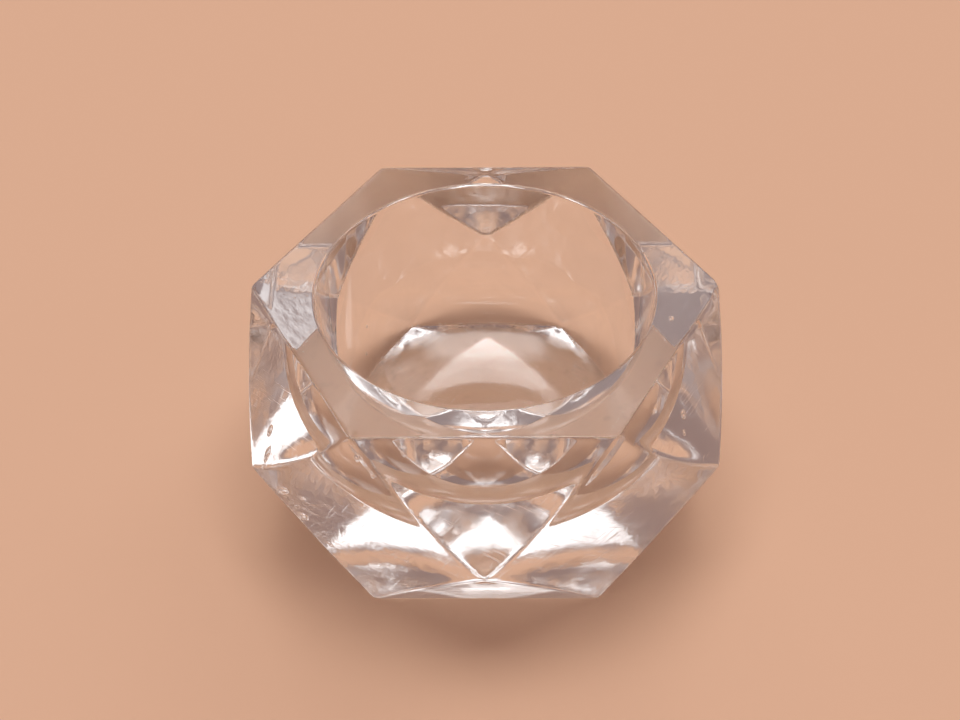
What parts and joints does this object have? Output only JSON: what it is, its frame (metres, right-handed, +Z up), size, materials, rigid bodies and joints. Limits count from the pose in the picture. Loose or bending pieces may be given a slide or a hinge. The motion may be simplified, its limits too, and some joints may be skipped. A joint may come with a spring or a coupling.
{
  "type": "salt cellar",
  "caption": "Open salt cellar of clear pressed glass: a faceted hexagonal block with crowned side faces, a round bowl sunk in its flat rim and a flat base.",
  "frame": {"origin": "centre of the flat base, on the surface that the cellar stands on", "axes": "+Z up through the middle of the bowl; +X through a corner of the hexagonal rim; +Y through the middle of a rim edge"},
  "size_m": [0.0512, 0.0572, 0.027],
  "materials": {
    "clear_glass": "clear colourless pressed glass, fire polished, with faint mould waves, a few seeds, and light wear on the base and edges"
  },
  "bodies": {
    "root": {"glass_body": "clear_glass"}
  },
  "joints": []
}
